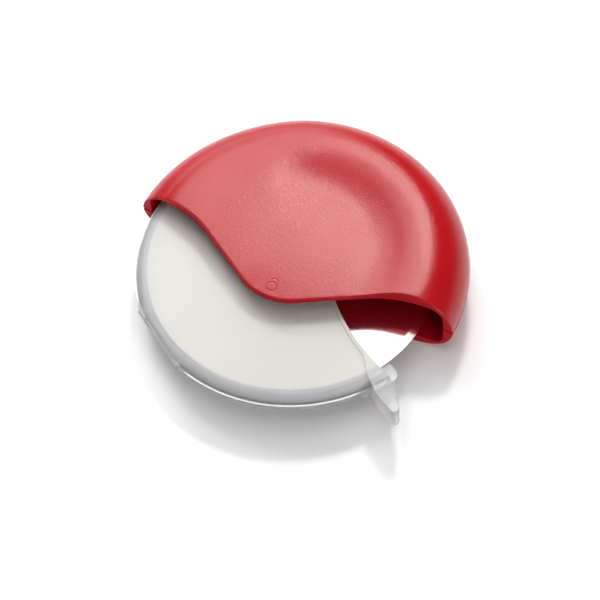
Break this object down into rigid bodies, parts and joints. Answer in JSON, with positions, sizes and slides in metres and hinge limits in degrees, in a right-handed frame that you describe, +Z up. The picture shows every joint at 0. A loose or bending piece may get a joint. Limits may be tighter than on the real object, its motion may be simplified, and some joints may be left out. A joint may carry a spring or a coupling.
{
  "type": "pastry cutter wheel",
  "caption": "Palm-held pastry cutter: a round blade between two domed shells with a wavy open front, and a translucent guard that swings round the blade.",
  "frame": {"origin": "on the blade's axis, in the plane that the cutter rests on when it lies flat", "axes": "+Z up along the blade's axis; -Y towards the open front where the blade works; +X to the side where the thumb tab is when the guard is closed"},
  "size_m": [0.1212, 0.1164, 0.029],
  "materials": {
    "shell_red": "satin, fine sparkle grain",
    "collar_white": "as moulded",
    "guard_frosted": "frosted translucent",
    "bush_grey": "as moulded",
    "steel_small": "turned",
    "blade_steel": "polished, ground bevel"
  },
  "bodies": {
    "housing": {"upper_shell": "shell_red", "lower_shell": "shell_red", "pivot_collar_upper": "collar_white", "pivot_collar_lower": "collar_white"},
    "guard": {"guard_upper": "guard_frosted", "guard_lower": "guard_frosted", "guard_hinge_pin": "steel_small", "guard_bush_upper": "bush_grey", "guard_bush_lower": "bush_grey", "thrust_washer_upper": "collar_white", "thrust_washer_lower": "collar_white"},
    "blade": {"blade_disc": "blade_steel", "hub_flange_upper": "bush_grey", "hub_flange_lower": "bush_grey", "hub_rivets": "steel_small", "blade_arbor": "steel_small"}
  },
  "joints": [
    {"name": "guard_swing", "type": "hinge", "parent": "housing", "child": "guard", "pos_m": [0, 0, 0.0145], "axis": [0, 0, 1], "range_deg": [-142, 27]},
    {"name": "blade_spin", "type": "hinge", "parent": "guard", "child": "blade", "pos_m": [0, 0, 0.0145], "axis": [0, 0, 1], "continuous": true}
  ]
}
